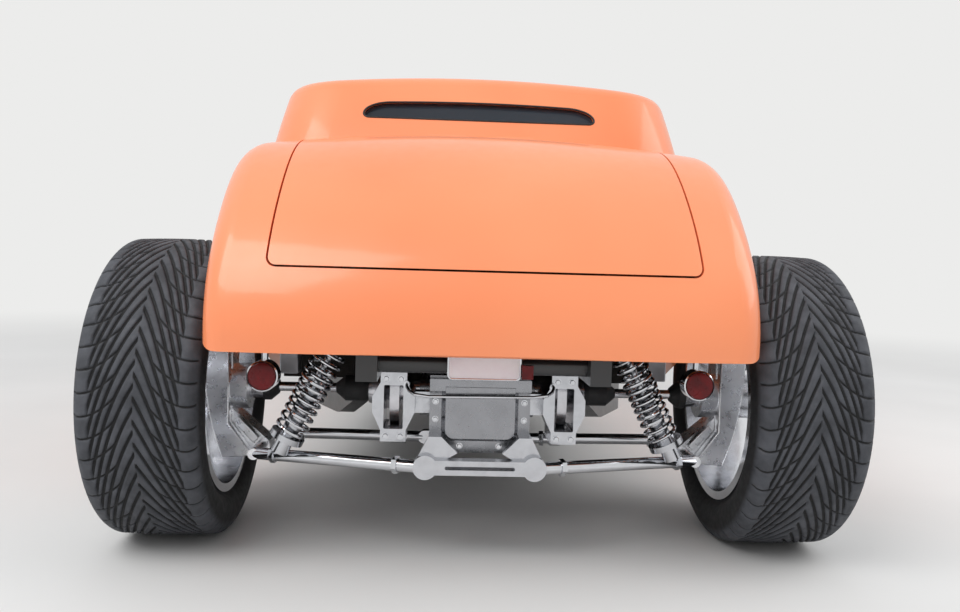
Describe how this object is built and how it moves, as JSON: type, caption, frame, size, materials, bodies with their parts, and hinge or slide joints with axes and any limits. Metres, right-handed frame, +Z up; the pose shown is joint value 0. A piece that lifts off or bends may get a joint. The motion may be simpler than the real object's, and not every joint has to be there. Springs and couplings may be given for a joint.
{
  "type": "street rod roadster with a hardtop",
  "caption": "Fenderless street rod roadster, pearl orange, with a chopped lift-off hardtop, polished independent suspension, inboard rear brakes and five-spoke wheels.",
  "frame": {"origin": "on the ground, under the middle of the car's box", "axes": "+Z up, +Y forwards, +X to the car's right"},
  "size_m": [1.914, 3.6472, 1.395],
  "materials": {
    "paint": "gloss",
    "frame_paint": "gloss",
    "polished": "polished",
    "chrome": "polished",
    "tyre": "matte",
    "rubber": "matte",
    "glass": "gloss",
    "lamp_glass": "gloss",
    "red_lens": "gloss",
    "engine_iron": "satin",
    "steel": "satin",
    "plate_paint": "satin",
    "leather": "satin",
    "trim": "matte"
  },
  "bodies": {
    "chassis": {"frame": "frame_paint", "body_shell": "paint", "hardtop": "paint", "hood_sides": "paint", "grille_shell": "paint", "grille_bars": "polished", "window_glass": "glass", "floor_pan": "trim", "radiator": "steel", "engine": "engine_iron", "gearbox": "steel", "exhaust": "polished", "differential": "polished", "rear_cradle": "polished", "rear_arms": "chrome", "rear_uprights": "polished", "rear_calipers": "polished", "front_arms": "chrome", "front_towers": "polished", "coilovers": "polished", "coil_springs": "chrome", "rack_housing": "polished", "dashboard": "leather", "seat": "leather", "tail_lamps": "chrome", "tail_lenses": "red_lens", "headlamps": "chrome", "headlamp_lenses": "lamp_glass", "rear_plate": "plate_paint"},
    "left_door": {"door_left": "paint"},
    "right_door": {"door_right": "paint"},
    "hood": {"hood_top": "paint"},
    "lid": {"deck_lid": "paint"},
    "rear_left_wheel": {"rear_tyre_left": "tyre", "rear_wheel_left": "polished", "half_shaft_left": "steel", "shaft_boots_left": "rubber"},
    "rear_right_wheel": {"rear_tyre_right": "tyre", "rear_wheel_right": "polished", "half_shaft_right": "steel", "shaft_boots_right": "rubber"},
    "left_knuckle": {"knuckle_left": "polished"},
    "right_knuckle": {"knuckle_right": "polished"},
    "front_left_wheel": {"front_tyre_left": "tyre", "front_wheel_left": "polished"},
    "front_right_wheel": {"front_tyre_right": "tyre", "front_wheel_right": "polished"},
    "rack": {"steering_rack": "chrome"},
    "hand_wheel": {"steering_wheel": "leather"}
  },
  "joints": [
    {"name": "rear_left_spin", "type": "hinge", "parent": "chassis", "child": "rear_left_wheel", "pos_m": [-0.8095, -1.354, 0.403], "axis": [1, 0, 0], "continuous": true},
    {"name": "rear_right_spin", "type": "hinge", "parent": "chassis", "child": "rear_right_wheel", "pos_m": [0.8095, -1.354, 0.403], "axis": [1, 0, 0], "continuous": true},
    {"name": "steer_left", "type": "hinge", "parent": "chassis", "child": "left_knuckle", "pos_m": [-0.64, 1.491, 0.333], "axis": [0, 0, 1], "range_deg": [-30, 30]},
    {"name": "steer_right", "type": "hinge", "parent": "chassis", "child": "right_knuckle", "pos_m": [0.64, 1.491, 0.333], "axis": [0, 0, 1], "range_deg": [-30, 30]},
    {"name": "front_left_spin", "type": "hinge", "parent": "left_knuckle", "child": "front_left_wheel", "pos_m": [-0.725, 1.491, 0.333], "axis": [1, 0, 0], "continuous": true},
    {"name": "front_right_spin", "type": "hinge", "parent": "right_knuckle", "child": "front_right_wheel", "pos_m": [0.725, 1.491, 0.333], "axis": [1, 0, 0], "continuous": true},
    {"name": "rack_slide", "type": "slide", "parent": "chassis", "child": "rack", "axis": [1, 0, 0], "range_m": [-0.08, 0.08]},
    {"name": "steering_wheel_turn", "type": "hinge", "parent": "chassis", "child": "hand_wheel", "pos_m": [-0.33, -0.204, 0.905], "axis": [0, -0.9135, 0.4067], "range_deg": [-480, 480]},
    {"name": "door_left_hinge", "type": "hinge", "parent": "chassis", "child": "left_door", "pos_m": [-0.64164, 0.0985, 0.8], "axis": [0, 0, 1], "range_deg": [-60, 0]},
    {"name": "door_right_hinge", "type": "hinge", "parent": "chassis", "child": "right_door", "pos_m": [0.64164, 0.0985, 0.8], "axis": [0, 0, 1], "range_deg": [0, 60]},
    {"name": "hood_hinge", "type": "hinge", "parent": "chassis", "child": "hood", "pos_m": [0, 1.50639, 0.96237], "axis": [1, 0, 0], "range_deg": [-50, 0]},
    {"name": "deck_lid_hinge", "type": "hinge", "parent": "chassis", "child": "lid", "pos_m": [0, -1.1765, 1.13479], "axis": [1, 0, 0], "range_deg": [-60, 0]}
  ],
  "couplings": [
    {"joint": "steer_right", "follows": "steer_left", "ratio": 1},
    {"joint": "rack_slide", "follows": "steer_left", "m_per_rad": 0.143},
    {"joint": "steering_wheel_turn", "follows": "steer_left", "ratio": 15}
  ]
}
